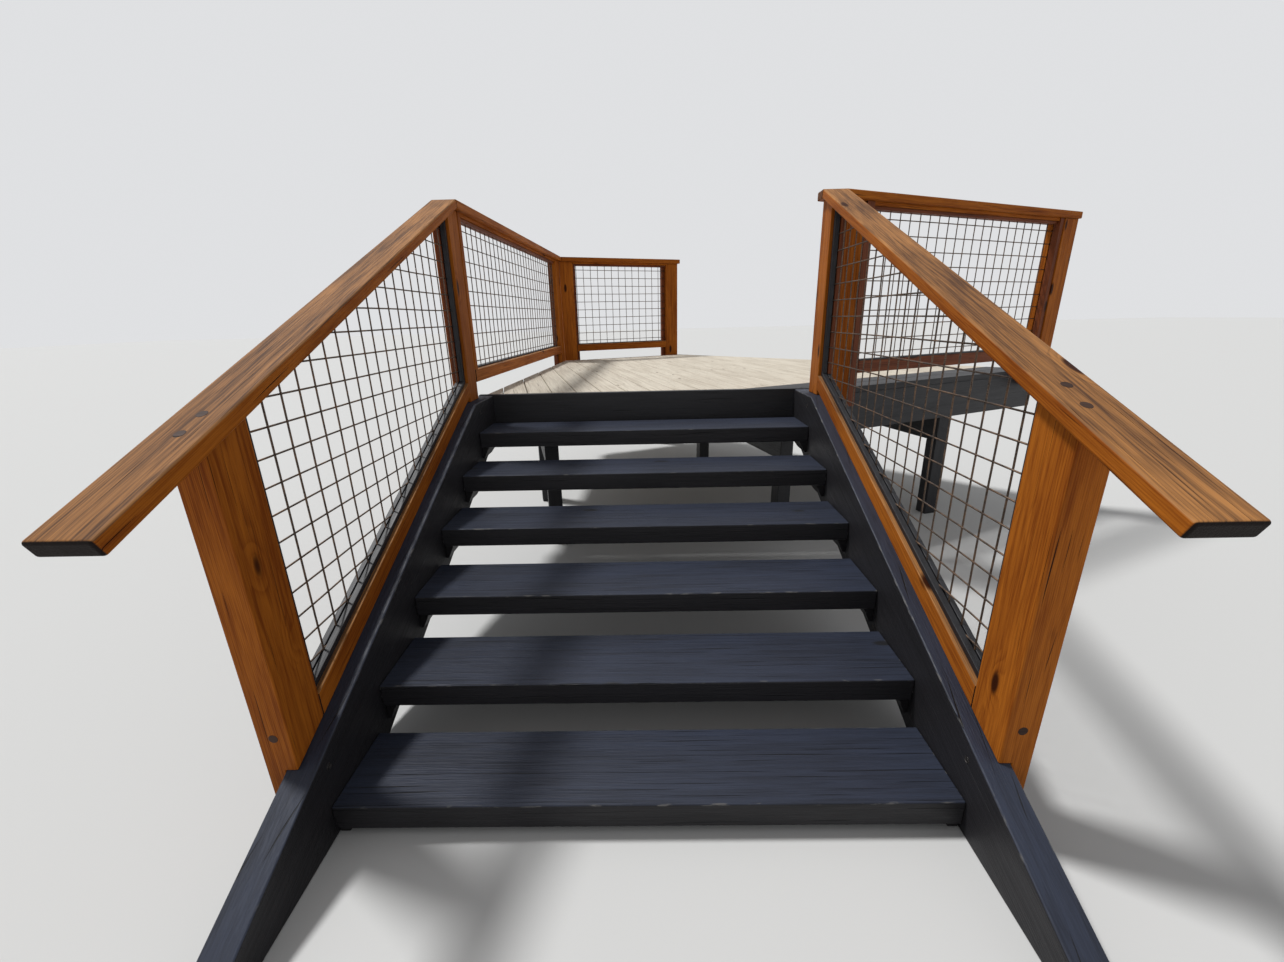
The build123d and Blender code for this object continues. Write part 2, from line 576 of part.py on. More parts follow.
def build():
    """Every sub-part by its node name, in the layout frame."""
    nodes = {}
    for side, shape in on_both_sides(
            side_prism(stringer_outline(), STRINGER_INNER, STRINGER_OUTER)).items():
        nodes[f"stringer_{side}"] = shape
    for number in range(1, TREAD_COUNT + 1):
        nodes[f"tread_{number}"] = tread(number)
    paired = {"lower_post": lower_post(), "upper_post": upper_post(), "handrail": handrail(),
              "stair_bottom_rail": stair_bottom_rail()}
    for name, shape in paired.items():
        for side, copy in on_both_sides(shape).items():
            nodes[f"{name}_{side}"] = copy
    nodes["tread_cleats"] = both_together(tread_cleats())
    nodes["stair_black_strips"] = both_together(stair_black_strips())
    nodes["stair_nailers"] = both_together(stair_nailers())
    nodes["stair_mesh_right"] = stair_mesh(MESH_PHASE_RIGHT)
    nodes["stair_mesh_left"] = mirror(stair_mesh(MESH_PHASE_LEFT), about=Plane.YZ)

    nodes.update(deck_edges())
    nodes.update(deck_surface())
    nodes["deck_joists"] = Compound(children=deck_joists())
    beams, posts = deck_beams_and_posts()
    nodes["deck_beams"] = Compound(children=beams)
    nodes["deck_support_posts"] = Compound(children=posts)
    nodes.update(guard_posts())
    nodes.update(guard_caps())
    nodes.update(guard_infill())
    return nodes


os.makedirs("parts", exist_ok=True)
NODES = build()
BOXES = [shape.bounding_box() for shape in NODES.values()]
MIDDLE_X = (min(box.min.X for box in BOXES) + max(box.max.X for box in BOXES)) / 2
MIDDLE_Y = (min(box.min.Y for box in BOXES) + max(box.max.Y for box in BOXES)) / 2
for node_name, node_shape in NODES.items():
    export_step(Pos(-MIDDLE_X, -MIDDLE_Y, 0) * node_shape, f"parts/{node_name}.step")
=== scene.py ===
# %% [markdown]
# # Wooden deck stairs
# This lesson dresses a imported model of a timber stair: six thick treads between two plank
# stringers, posts and rails of stained timber, panels of welded wire mesh, and the deck head that
# the flight leads up to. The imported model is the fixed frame. Each piece below takes its place and
# its size from it, so nothing has to be fitted afterwards. Everything is in metres, with +Z up.

# %% Load the frame
import math

import bmesh
import bpy
import numpy as np
from mathutils import Matrix, Vector


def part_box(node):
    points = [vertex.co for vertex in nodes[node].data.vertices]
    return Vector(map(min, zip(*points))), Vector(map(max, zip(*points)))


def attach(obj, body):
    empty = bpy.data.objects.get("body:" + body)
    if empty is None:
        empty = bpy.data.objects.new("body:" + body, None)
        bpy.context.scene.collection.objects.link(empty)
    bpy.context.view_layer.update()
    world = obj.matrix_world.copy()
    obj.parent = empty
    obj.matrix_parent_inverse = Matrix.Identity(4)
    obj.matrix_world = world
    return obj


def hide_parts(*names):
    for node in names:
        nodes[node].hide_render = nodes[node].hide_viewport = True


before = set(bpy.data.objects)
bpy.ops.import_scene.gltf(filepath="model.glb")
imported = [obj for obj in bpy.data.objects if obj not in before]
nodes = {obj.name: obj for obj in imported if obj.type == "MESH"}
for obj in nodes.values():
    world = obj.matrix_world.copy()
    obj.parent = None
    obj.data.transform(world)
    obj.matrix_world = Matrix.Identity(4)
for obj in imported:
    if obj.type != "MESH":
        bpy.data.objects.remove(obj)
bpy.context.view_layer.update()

# %% [markdown]
# ## Where things are
# The flight is laid out from the middle of the first tread's front edge. Its slope is the step
# from one tread to the next, so it is read off two treads instead of being typed in again.

# %% The flight's own layout


def low(node):
    """The lowest corner of a node's box."""
    return np.array(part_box(node)[0])


def high(node):
    """The highest corner of a node's box."""
    return np.array(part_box(node)[1])


TREADS = [f"tread_{number}" for number in range(1, 7)]
GOING, RISE = (high("tread_2") - high("tread_1"))[1:]
PITCH = math.atan2(RISE, GOING)
SLOPE = RISE / GOING
FLIGHT = np.array([(low("tread_1")[0] + high("tread_1")[0]) / 2, low("tread_1")[1], 0])
print("going and rise", GOING, RISE, "pitch", round(math.degrees(PITCH), 2))


def place(x, y, z):
    """A point given from the middle of the first tread's front edge, at ground height."""
    return FLIGHT + np.array([x, y, z])


# %% [markdown]
# ## The camera
# The photograph was taken from the foot of the stairs with a very wide lens, a little off level
# both ways. A camera's matrix holds the directions of its right side, its top and its back, so
# they are worked out from three angles: how far it looks down, how far it turns, and its roll.

# %% Camera
LENS_MM = 14.16
SENSOR_MM = 36.0
SHIFT_X, SHIFT_Y = 0.0008, -0.0023
NEAREST_SEEN = 0.02
LOOK_DOWN = math.radians(17.70)
TURN = math.radians(-0.957)
ROLL = math.radians(-1.352)
EYE = place(0.0272, -1.0959, 1.4465)

camera_data = bpy.data.cameras.new("camera")
camera_data.lens = LENS_MM
camera_data.sensor_width = SENSOR_MM
camera_data.shift_x = SHIFT_X
camera_data.shift_y = SHIFT_Y
camera_data.clip_start = NEAREST_SEEN
ahead = Vector((math.sin(TURN) * math.cos(LOOK_DOWN), math.cos(TURN) * math.cos(LOOK_DOWN),
                -math.sin(LOOK_DOWN)))
level_right = ahead.cross(Vector((0, 0, 1))).normalized()
level_up = level_right.cross(ahead)
right = math.cos(ROLL) * level_right + math.sin(ROLL) * level_up
up = math.cos(ROLL) * level_up - math.sin(ROLL) * level_right
turned = Matrix((right, up, -ahead)).transposed().to_4x4()
camera = bpy.data.objects.new("camera", camera_data)
camera.matrix_world = Matrix.Translation(EYE) @ turned
bpy.context.scene.collection.objects.link(camera)
bpy.context.scene.camera = camera

# %% [markdown]
# ## Wood as a solid
# Real boards are sawn from a trunk, so their figure is one solid pattern seen on every face. The
# group below makes that pattern: growth rings round a wandering pith, fine fibres along the grain,
# knots that push the rings aside, and drying cracks. It reads an attribute called grain, which
# each timber carries: metres along its own length, across it, and through it. That way one group
# serves sloped rails and upright posts alike.

# %% Helpers for shader nodes


class Shader:
    """A small pen for node trees: it adds nodes and joins their sockets."""

    def __init__(self, tree):
        self.tree = tree

    def node(self, kind, inputs=None, **settings):
        """Add a node, set its properties, and feed its inputs with values or sockets."""
        made = self.tree.nodes.new(kind)
        for name, value in settings.items():
            setattr(made, name, value)
        for key, value in (inputs or {}).items():
            if isinstance(value, bpy.types.NodeSocket):
                self.tree.links.new(value, made.inputs[key])
            else:
                made.inputs[key].default_value = value
        return made

    def math(self, operation, one, two=0.0, clamp=False):
        """One Math node and its output."""
        return self.node("ShaderNodeMath", {0: one, 1: two}, operation=operation,
                         use_clamp=clamp).outputs[0]

    def vector(self, operation, one, two):
        """One Vector Math node and its vector output."""
        return self.node("ShaderNodeVectorMath", {0: one, 1: two}, operation=operation).outputs[0]

    def noise(self, vector, scale, detail=3.0, roughness=0.55):
        """One noise texture's outputs: a value from 0 to 1, and a colour of three such values."""
        return self.node("ShaderNodeTexNoise",
                         {"Vector": vector, "Scale": scale, "Detail": detail,
                          "Roughness": roughness}).outputs

    def drawn_noise(self, vector, pace, detail=3.0, roughness=0.55):
        """Noise with its own pace along each axis, so that its spots are long where it is low."""
        return self.noise(self.vector("MULTIPLY", vector, pace), 1.0, detail, roughness)

    def step(self, value, start, end):
        """A smooth step from 0 at the start to 1 at the end."""
        return self.node("ShaderNodeMapRange", {"Value": value, "From Min": start,
                                                "From Max": end},
                         interpolation_type="SMOOTHSTEP").outputs[0]

    def mix(self, factor, one, two):
        """One colour mix and its output. The colour sockets are numbers 6 and 7."""
        return self.node("ShaderNodeMix", {0: factor, 6: self.colour(one), 7: self.colour(two)},
                         data_type="RGBA").outputs[2]

    def colour(self, value):
        """A colour socket as it is, or red, green and blue made opaque."""
        return value if isinstance(value, bpy.types.NodeSocket) else (*value, 1)


def new_material(name):
    """An empty material, and a pen for its nodes."""
    material = bpy.data.materials.new(name)
    material.use_nodes = True
    material.node_tree.nodes.clear()
    return material, Shader(material.node_tree)


def new_group(name, inputs, outputs):
    """A shader node group with named inputs (name: kind, default) and outputs (name: kind)."""
    group = bpy.data.node_groups.new(name, "ShaderNodeTree")
    for label, (kind, default) in inputs.items():
        socket = group.interface.new_socket(label, in_out="INPUT", socket_type=kind)
        if default is not None:
            socket.default_value = default
    for label, kind in outputs.items():
        group.interface.new_socket(label, in_out="OUTPUT", socket_type=kind)
    pen = Shader(group)
    return group, pen, pen.node("NodeGroupInput").outputs, pen.node("NodeGroupOutput").inputs


# %% The sawn wood group
FLOAT, VECTOR = "NodeSocketFloat", "NodeSocketVector"

# How often each pattern changes in a metre along, across and through a timber.
WANDER_PACE = (1.3, 3, 3)
KNOT_PACE = (4.0, 11, 11)
FIBRE_PACE = (7, 210, 210)
STREAK_PACE = (2.2, 48, 48)
CLOUD_PACE = (1.6, 7, 7)
RUB_AND_GLINT_PACE = (16, 70, 70)
CRACK_PACE = 3.4

# The values between which each noise fades from light wood to dark, or to the lighter edges of
# rubbed wear and painted highlight.
FIBRE_FADE = (0.40, 0.63)
CLOUD_FADE = (0.36, 0.68)
STREAK_FADE = (0.42, 0.66)
RUB_AND_GLINT_FADE = (0.56, 0.68)

# A knot pushes the rings out by 12 mm, and is felt to 2.3 times its own size.
BULGE_REACH = 2.3
BULGE_HEIGHT = 0.012

# Cracks follow lanes a little askew to the faces. The step between two lanes only keeps their
# noise apart.
LANE_TILT = 0.45
LANE_STEP = 7.31

DARK_WOOD_ROUGHER = 0.12

# Shares of the relief: late wood, fibres and cracks.
RING_RELIEF, FIBRE_RELIEF, CRACK_RELIEF = -0.25, 0.35, -2.2


def make_sawn_wood():
    """Rings, fibres, knots, cracks and their height, from a timber's own grain coordinates."""
    group, pen, given, result = new_group(
        "sawn_wood",
        {"Grain": (VECTOR, None), "Ring width": (FLOAT, 0.006), "Wander": (FLOAT, 0.02),
         "Knot size": (FLOAT, 0.2), "Knot share": (FLOAT, 0.35), "Cracks per metre": (FLOAT, 50.0),
         "Crack width": (FLOAT, 0.02), "Crack cover": (FLOAT, 0.55)},
        {"Rings": FLOAT, "Fibres": FLOAT, "Knots": FLOAT, "Cracks": FLOAT, "Cloud": FLOAT,
         "Streaks": FLOAT, "Height": FLOAT})
    grain = given["Grain"]
    slow = pen.drawn_noise(grain, WANDER_PACE, 2.0)["Color"]
    drift = pen.node("ShaderNodeVectorMath", {0: slow, 1: (-0.5, -0.5, -0.5)}, operation="ADD")
    wander = pen.node("ShaderNodeVectorMath", {0: drift.outputs[0], 3: given["Wander"]},
                      operation="SCALE").outputs[0]
    moved = pen.vector("ADD", grain, wander)
    across = pen.vector("MULTIPLY", moved, (0.0, 1.0, 1.0))
    from_pith = pen.node("ShaderNodeVectorMath", {0: across}, operation="LENGTH").outputs["Value"]
    cells = pen.node("ShaderNodeTexVoronoi",
                     {"Vector": pen.vector("MULTIPLY", grain, KNOT_PACE), "Scale": 1.0,
                      "Randomness": 1.0}, feature="F1").outputs
    chance = pen.node("ShaderNodeSeparateXYZ", {0: cells["Color"]}).outputs[0]
    has_knot = pen.math("LESS_THAN", chance, given["Knot share"])
    inside = pen.step(cells["Distance"], given["Knot size"],
                      pen.math("MULTIPLY", given["Knot size"], 0.5))
    knots = pen.math("MULTIPLY", inside, has_knot)
    reach = pen.math("MULTIPLY", given["Knot size"], BULGE_REACH)
    bulge = pen.step(cells["Distance"], reach, 0.0)
    bulge = pen.math("MULTIPLY", bulge, has_knot)
    radius = pen.math("ADD", from_pith, pen.math("MULTIPLY", bulge, BULGE_HEIGHT))
    wave = pen.math("FRACT", pen.math("DIVIDE", radius, given["Ring width"]))
    rings = pen.math("MULTIPLY", pen.math("POWER", wave, 1.8), pen.step(wave, 1.0, 0.80))
    fibres = pen.step(pen.drawn_noise(grain, FIBRE_PACE, 3.0, 0.65)[0], *FIBRE_FADE)
    streaks = pen.drawn_noise(moved, STREAK_PACE, 3.0, 0.6)[0]
    cloud = pen.drawn_noise(grain, CLOUD_PACE, 4.0)[0]
    parts = pen.node("ShaderNodeSeparateXYZ", {0: moved}).outputs
    tilted = pen.math("ADD", parts[1], pen.math("MULTIPLY", parts[2], LANE_TILT))
    lane = pen.math("MULTIPLY", tilted, given["Cracks per metre"])
    from_middle = pen.math("ABSOLUTE", pen.math("SUBTRACT", pen.math("FRACT", lane), 0.5))
    off_line = pen.math("DIVIDE", from_middle, given["Cracks per metre"])
    lane_spot = pen.node("ShaderNodeCombineXYZ", {
        0: pen.math("MULTIPLY", parts[0], CRACK_PACE),
        1: pen.math("MULTIPLY", pen.math("FLOOR", lane), LANE_STEP)}).outputs[0]
    cover = pen.noise(lane_spot, 1.0, 1.0)[0]
    opening = pen.math("SUBTRACT", cover, given["Crack cover"])
    half_width = pen.math("MULTIPLY", pen.math("MAXIMUM", opening, 0.0), given["Crack width"])
    cracks = pen.step(off_line, half_width, pen.math("MULTIPLY", half_width, 0.4))
    height = pen.math("MULTIPLY", rings, RING_RELIEF)
    height = pen.math("ADD", height, pen.math("MULTIPLY", fibres, FIBRE_RELIEF))
    height = pen.math("ADD", height, pen.math("MULTIPLY", cracks, CRACK_RELIEF))
    made = {"Rings": rings, "Fibres": fibres, "Knots": knots, "Cracks": cracks,
            "Cloud": cloud, "Streaks": streaks, "Height": height}
    for name, socket in made.items():
        pen.tree.links.new(socket, result[name])
    return group


SAWN_WOOD = make_sawn_wood()


def wood(name, light, dark, knot, top=None, end=None, worn_and_glint=None, stain=(0, 0, 0),
         roughness=0.55, gloss=0.25, relief=0.0006, shares=(0.5, 0.25, 0.35, 0.35), **settings):
    """A wood finish. Light and dark wood are mixed by rings, fibres, clouds and streaks, each with
    its share. The top may have its own light and dark, the cut ends their own colour, which is
    painted shade where it is near black, and the rounded edges a lighter one, which is partly
    rubbed wear and partly painted highlight. Other settings go to the sawn wood group."""
    material, pen = new_material(name)
    grain = pen.node("ShaderNodeAttribute", attribute_name="grain").outputs["Vector"]
    surface = pen.node("ShaderNodeAttribute", attribute_name="surface").outputs["Vector"]
    rounded, upward, cut_end = pen.node("ShaderNodeSeparateXYZ", {0: surface}).outputs
    sawn = pen.node("ShaderNodeGroup", {"Grain": grain}, node_tree=SAWN_WOOD)
    for label, value in settings.items():
        sawn.inputs[label.replace("_", " ").capitalize()].default_value = value
    out = sawn.outputs
    patch = pen.step(out["Cloud"], *CLOUD_FADE)
    streak = pen.step(out["Streaks"], *STREAK_FADE)
    figure = 0.0
    for share, socket in zip(shares, (out["Rings"], out["Fibres"], patch, streak)):
        figure = pen.math("ADD", figure, pen.math("MULTIPLY", socket, share), clamp=True)
    colour = pen.mix(figure, light, dark)
    if top:
        colour = pen.mix(upward, colour, pen.mix(figure, *top))
    colour = pen.mix(out["Knots"], colour, knot)
    colour = pen.mix(out["Cracks"], colour, stain)
    # Cut ends: darker end grain, and where the end colour is near black, painted shade.
    if end:
        colour = pen.mix(cut_end, colour, end)
    # Lighter rounded edges: partly rubbed wear, partly painted highlight where sun glints on the
    # arrises.
    if worn_and_glint:
        rubbed = pen.step(pen.drawn_noise(grain, RUB_AND_GLINT_PACE)[0], *RUB_AND_GLINT_FADE)
        colour = pen.mix(pen.math("MULTIPLY", rubbed, rounded), colour, worn_and_glint)
    rough = pen.math("ADD", pen.math("MULTIPLY", figure, DARK_WOOD_ROUGHER), roughness)
    bump = pen.node("ShaderNodeBump", {"Height": out["Height"], "Distance": relief,
                                       "Strength": 1.0})
    shader = pen.node("ShaderNodeBsdfPrincipled", {"Base Color": colour, "Roughness": rough,
                                                   "Specular IOR Level": gloss,
                                                   "Normal": bump.outputs[0]})
    pen.node("ShaderNodeOutputMaterial", {"Surface": shader.outputs[0]})
    return material


# %% [markdown]
# ## The finishes
# The rails and posts have a see-through orange-brown stain, so the figure of the wood shows. Sun
# has bleached and browned their tops. Their cut ends are darker end grain, with painted shade that
# makes them nearly black, except on the caps. The stringers and treads are stained almost black,
# with long thin cracks; their tops are lighter with dust and bluer with painted sky light, and their
# edges are painted lighter grey, partly rubbed wear and partly painted highlight. The deck boards
# are bare and pale. The strips that clamp the mesh are black, or a dark red-brown that is the
# orange stain darkened as in shade: painted shade.

# %% Wood finishes
# The near-black cut ends are darker end grain with painted shade added; the caps' ends stay brown.
orange_stain = dict(light=(0.465, 0.143, 0.015), dark=(0.210, 0.050, 0.006),
                    top=((0.50, 0.226, 0.072), (0.104, 0.052, 0.029)), end=(0.013, 0.009, 0.008),
                    knot=(0.040, 0.010, 0.003), stain=(0.030, 0.008, 0.002), ring_width=0.0044,
                    wander=0.016, knot_size=0.21, crack_cover=0.57, crack_width=0.006,
                    cracks_per_metre=75.0, shares=(0.42, 0.36, 0.35, 0.32), roughness=0.48,
                    gloss=0.07)
STAINED = wood("stained_wood", knot_share=0.5, **orange_stain)
STAINED_RAILS = wood("stained_rails", knot_share=0.12, **orange_stain)
STAINED_CAPS = wood("stained_caps", knot_share=0.12,
                    **dict(orange_stain, end=(0.13, 0.05, 0.018)))
# Charcoal tops: lighter with dust and bluer with painted sky light. Its near-black cut ends carry
# painted shade, and its lighter edges are rubbed wear and painted highlight.
CHARCOAL = wood("charcoal_wood", light=(0.018, 0.0172, 0.020), dark=(0.0085, 0.008, 0.0095),
                top=((0.028, 0.035, 0.058), (0.0135, 0.0165, 0.0275)), end=(0.009, 0.008, 0.009),
                worn_and_glint=(0.10, 0.097, 0.096), knot=(0.010, 0.010, 0.012),
                stain=(0.003, 0.003, 0.004), ring_width=0.008, knot_share=0.08,
                crack_cover=0.52, crack_width=0.009, roughness=0.46, gloss=0.30, relief=0.0009,
                shares=(0.25, 0.3, 0.45, 0.35))
# Lighter edges here too: rubbed wear and painted highlight.
BLACK = wood("black_painted_wood", light=(0.016, 0.016, 0.019), dark=(0.008, 0.008, 0.010),
             worn_and_glint=(0.07, 0.066, 0.062), knot=(0.010, 0.010, 0.010), crack_cover=0.6,
             roughness=0.45, gloss=0.4)
# Dark red-brown strips: the orange stain darkened as it looks in shade, so painted shade.
SHADED_ORANGE_STAIN = wood("red_brown_strips", light=(0.22, 0.056, 0.014), dark=(0.075, 0.018, 0.006),
                 knot=(0.03, 0.01, 0.005), ring_width=0.005, crack_cover=0.62,
                 crack_width=0.008, roughness=0.5, gloss=0.2)
DECK_WOOD = wood("deck_wood", light=(0.74, 0.68, 0.57), dark=(0.50, 0.44, 0.355),
                 knot=(0.16, 0.11, 0.08), stain=(0.09, 0.07, 0.05), knot_size=0.13,
                 crack_cover=0.60, crack_width=0.008, roughness=0.75)
JOIST_WOOD = wood("joist_wood", light=(0.26, 0.155, 0.085), dark=(0.13, 0.07, 0.035),
                  knot=(0.06, 0.03, 0.015), crack_cover=0.62, roughness=0.7)

# %% [markdown]
# ## Timbers
# A sawn timber has slightly rounded edges that catch the light. Each CAD node is a true-sized
# solid made of loose triangles, so a copy of it is merged, its flat faces are joined again, and
# its edges are rounded. Every separate timber in the copy gets its own grain coordinates, and a
# second attribute says where its surface is rounded, where it faces up, and where it is a cut end.

# %% Dress the timbers
ALONG_THE_TRUNK = 30
PITH_ASIDE = 0.06
PITH_BELOW = (0.07, 0.16)
SHARP_EDGE = math.radians(25)
SAME_FACE = math.radians(0.5)
SAME_PLACE = 1e-5
SAME_HEIGHT = 1e-4
FLAT_FACING, ROUNDED_FACING = 0.65, 0.4
random = np.random.default_rng(7)


def grain_axes(points):
    """A timber's own directions: the one of most spread first, then the other two."""
    centred = points - points.mean(axis=0)
    spread, axes = np.linalg.eigh(centred.T @ centred)
    return axes[:, np.argsort(spread)[::-1]]


def grain_of(points, axes):
    """Metres along, across and through a timber, from a pith that lies outside its wide face."""
    local = (points - points.mean(axis=0)) @ axes
    aside = random.uniform(-PITH_ASIDE, PITH_ASIDE)
    below = random.uniform(*PITH_BELOW) * random.choice([-1, 1])
    return local + np.array([random.uniform(0, ALONG_THE_TRUNK), aside, below])


def finish_piece(piece, material, replaced):
    """Give a piece its finish, hang it from the root, and hide the nodes that it replaces."""
    piece.data.materials.clear()
    piece.data.materials.append(material)
    bpy.context.scene.collection.objects.link(piece)
    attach(piece, "root")
    if replaced:
        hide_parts(*replaced)


def store(mesh, name, values):
    """Keep three numbers for each vertex in the mesh, such as its grain coordinates."""
    layer = mesh.attributes.new(name, "FLOAT_VECTOR", "POINT")
    layer.data.foreach_set("vector", np.asarray(values, dtype=np.float32).ravel())


def joined(name, parts, material, replaced=()):
    """One piece made of several closed forms, each given as (points, faces, grain axes)."""
    points, faces, grain = [], [], []
    total = 0
    for spots, part_faces, axes in parts:
        points.append(spots)
        grain.append(grain_of(spots, axes))
        faces += [[vertex + total for vertex in face] for face in part_faces]
        total += len(spots)
    mesh = bpy.data.meshes.new(name)
    mesh.from_pydata(np.concatenate(points).tolist(), [], faces)
    store(mesh, "grain", np.concatenate(grain))
    finish_piece(bpy.data.objects.new(name, mesh), material, replaced)
    print(name, "parts", len(parts))


def islands(work):
    """The separate timbers in a mesh, each as a list of its vertices."""
    seen, groups = set(), []
    for start in work.verts:
        if start.index in seen:
            continue
        seen.add(start.index)
        group, queue = [], [start]
        while queue:
            vertex = queue.pop()
            group.append(vertex)
            for edge in vertex.link_edges:
                other = edge.other_vert(vertex)
                if other.index not in seen:
                    seen.add(other.index)
                    queue.append(other)
        groups.append(group)
    return groups


def dressed(node, material, edge, segments):
    """A copy of a CAD node with rounded edges and grain, which stands for the node. A vertex on
    a rounding looks along its own normal, and any other along a flat face beside it."""
    work = bmesh.new()
    work.from_mesh(nodes[node].data)
    bmesh.ops.remove_doubles(work, verts=work.verts, dist=SAME_PLACE)
    bmesh.ops.dissolve_limit(work, angle_limit=SAME_FACE, verts=work.verts, edges=work.edges)
    sharp = [e for e in work.edges if len(e.link_faces) == 2 and e.calc_face_angle() > SHARP_EDGE]
    bevelled = bmesh.ops.bevel(work, geom=sharp, offset=edge, segments=segments, profile=0.5,
                               affect="EDGES", clamp_overlap=True)
    rounded = set(bevelled["faces"])
    bmesh.ops.recalc_face_normals(work, faces=work.faces)
    work.verts.index_update()
    grain = np.zeros((len(work.verts), 3))
    surface = np.zeros((len(work.verts), 3))
    for group in islands(work):
        points = np.array([vertex.co[:] for vertex in group])
        axes = grain_axes(points)
        grain[[vertex.index for vertex in group]] = grain_of(points, axes)
        for vertex in group:
            flat = [face.normal for face in vertex.link_faces if face not in rounded]
            facing = np.array((flat[0] if flat else vertex.normal)[:])
            least = FLAT_FACING if flat else ROUNDED_FACING
            surface[vertex.index] = [not flat, facing[2] > least,
                                     abs(facing @ axes[:, 0]) > least]
    mesh = bpy.data.meshes.new(node + "_dressed")
    work.to_mesh(mesh)
    work.free()
    store(mesh, "grain", grain)
    store(mesh, "surface", surface)
    mesh.polygons.foreach_set("use_smooth", [True] * len(mesh.polygons))
    piece = bpy.data.objects.new(node + "_dressed", mesh)
    weighted = piece.modifiers.new("flat faces stay flat", "WEIGHTED_NORMAL")
    weighted.keep_sharp = True
    finish_piece(piece, material, [node])


# Each row: finish, slot, edge radius in metres, steps round the edge, and its nodes.
TIMBERS = [
    (STAINED, "stained_wood", 0.004, 3,
     ["lower_post_left", "lower_post_right", "upper_post_left", "upper_post_right",
      "guard_post_front_right", "guard_corner_posts", "guard_end_posts"]),
    (STAINED_RAILS, "stained_wood", 0.008, 5, ["handrail_left", "handrail_right"]),
    (STAINED_CAPS, "stained_wood", 0.006, 4,
     ["guard_cap_left", "guard_cap_far", "guard_cap_right"]),
    (STAINED_RAILS, "stained_wood", 0.003, 3,
     ["stair_bottom_rail_left", "stair_bottom_rail_right", "guard_bottom_rail_left",
      "guard_bottom_rail_far", "guard_bottom_rail_right"]),
    (CHARCOAL, "charcoal_wood", 0.006, 4, [*TREADS, "stringer_left", "stringer_right"]),
    (CHARCOAL, "charcoal_wood", 0.003, 3, ["tread_cleats"]),
    (STAINED, "stained_wood", 0.002, 3, ["guard_inner_strips"]),
    (BLACK, "black_painted_wood", 0.002, 3,
     ["guard_mesh_strip_left", "guard_mesh_strip_far", "guard_mesh_strip_right"]),
    (BLACK, "black_painted_wood", 0.003, 3,
     ["deck_fascia_front", "deck_rim_right", "deck_rim_back", "deck_rim_far", "deck_rim_left",
      "deck_beams", "deck_support_posts"]),
    (SHADED_ORANGE_STAIN, "red_brown_strips", 0.002, 3, ["guard_nailers"]),
    (JOIST_WOOD, "joist_wood", 0.002, 3, ["deck_joists"]),
]
for material, slot, edge, segments, names in TIMBERS:
    for node in names:
        dressed(node, material, edge, segments)
print("timbers dressed")

# %% [markdown]
# ## Deck boards
# The CAD model holds the deck's boards as one slab. Here they are single boards with gaps. Each is
# the part of the slab's outline that lies between two lines a board's width apart. A board is then
# its outline carried down through the thickness, drawn in a little at both faces so that its edges
# are eased.

# %% Outline tools


def cut_outline(outline, point, inward):
    """The part of an outline on the inward side of a line through a point."""
    side = (outline - point) @ inward
    kept = []
    for index in range(len(outline)):
        after = (index + 1) % len(outline)
        if side[index] >= 0:
            kept.append(outline[index])
        if (side[index] >= 0) != (side[after] >= 0):
            share = side[index] / (side[index] - side[after])
            kept.append(outline[index] + share * (outline[after] - outline[index]))
    return np.array(kept)


def anticlockwise(outline):
    """An outline turned anticlockwise from above, so that its area comes out positive."""
    after = np.roll(outline, -1, axis=0)
    area = (outline[:, 0] * after[:, 1] - after[:, 0] * outline[:, 1]).sum()
    return outline if area > 0 else outline[::-1]


def drawn_in(outline, distance):
    """An outline with each corner moved inwards along the sum of its edges' normals."""
    edge = np.roll(outline, -1, axis=0) - outline
    edge /= np.linalg.norm(edge, axis=1, keepdims=True)
    normal = np.stack([-edge[:, 1], edge[:, 0]], axis=1)
    before = np.roll(normal, 1, axis=0)
    share = 1 + (normal * before).sum(axis=1, keepdims=True)
    return outline + distance * (normal + before) / share


def slab_outline(node):
    """The outline of a flat slab from above, found from the edges that only one triangle has."""
    data = nodes[node].data
    points = np.array([vertex.co[:] for vertex in data.vertices])
    top = points[:, 2].max()
    names, sides = {}, {}
    for triangle in data.polygons:
        corners = list(triangle.vertices)
        if points[corners][:, 2].min() > top - SAME_HEIGHT:
            turn = [names.setdefault(tuple(np.round(points[corner], 5)), len(names))
                    for corner in corners]
            sides.update({pair: True for pair in zip(turn, turn[1:] + turn[:1])})
    rim = {start: end for start, end in sides if (end, start) not in sides}
    places = {number: spot[:2] for spot, number in names.items()}
    loop = [next(iter(rim))]
    while len(loop) < len(rim):
        loop.append(rim[loop[-1]])
    return anticlockwise(np.array([places[number] for number in loop]))


EASE_STEPS = np.radians([0, 30, 60, 90])


def ring_faces(rings, corners):
    """The faces of a closed form made of rings of corners: walls from each ring to the next, and
    a cap at both ends. They look outwards if the rings turn anticlockwise, seen from the last."""
    start = np.arange(rings - 1)[:, None] * corners
    here = np.arange(corners)[None, :]
    after = (here + 1) % corners
    walls = np.stack([start + here, start + after, start + corners + after,
                      start + corners + here], axis=-1).reshape(-1, 4)
    last = (rings - 1) * corners
    return [*walls.tolist(), list(range(corners))[::-1], list(range(last, last + corners))]


def eased_board(outline, bottom, top, ease):
    """Rings of an outline from bottom to top: each is drawn in by a quarter circle at the faces."""
    insets = ease * (1 - np.sin(EASE_STEPS))
    rises = ease * (1 - np.cos(EASE_STEPS))
    rings = [(inset, bottom + rise) for inset, rise in zip(insets, rises)]
    rings += [(inset, top - rise) for inset, rise in zip(insets[::-1], rises[::-1])]
    count = len(outline)
    points = np.concatenate([np.column_stack([drawn_in(outline, inset), np.full(count, height)])
                             for inset, height in rings])
    return points, ring_faces(len(rings), count)


# %% Lay the boards
BOARD_WIDTH = 0.140
BOARD_GAP = 0.006
BOARD_EASE = 0.003
BOARD_DIRECTION = 105
FIRST_BOARD_EDGE = -0.05
NARROWEST_BOARD = 0.03


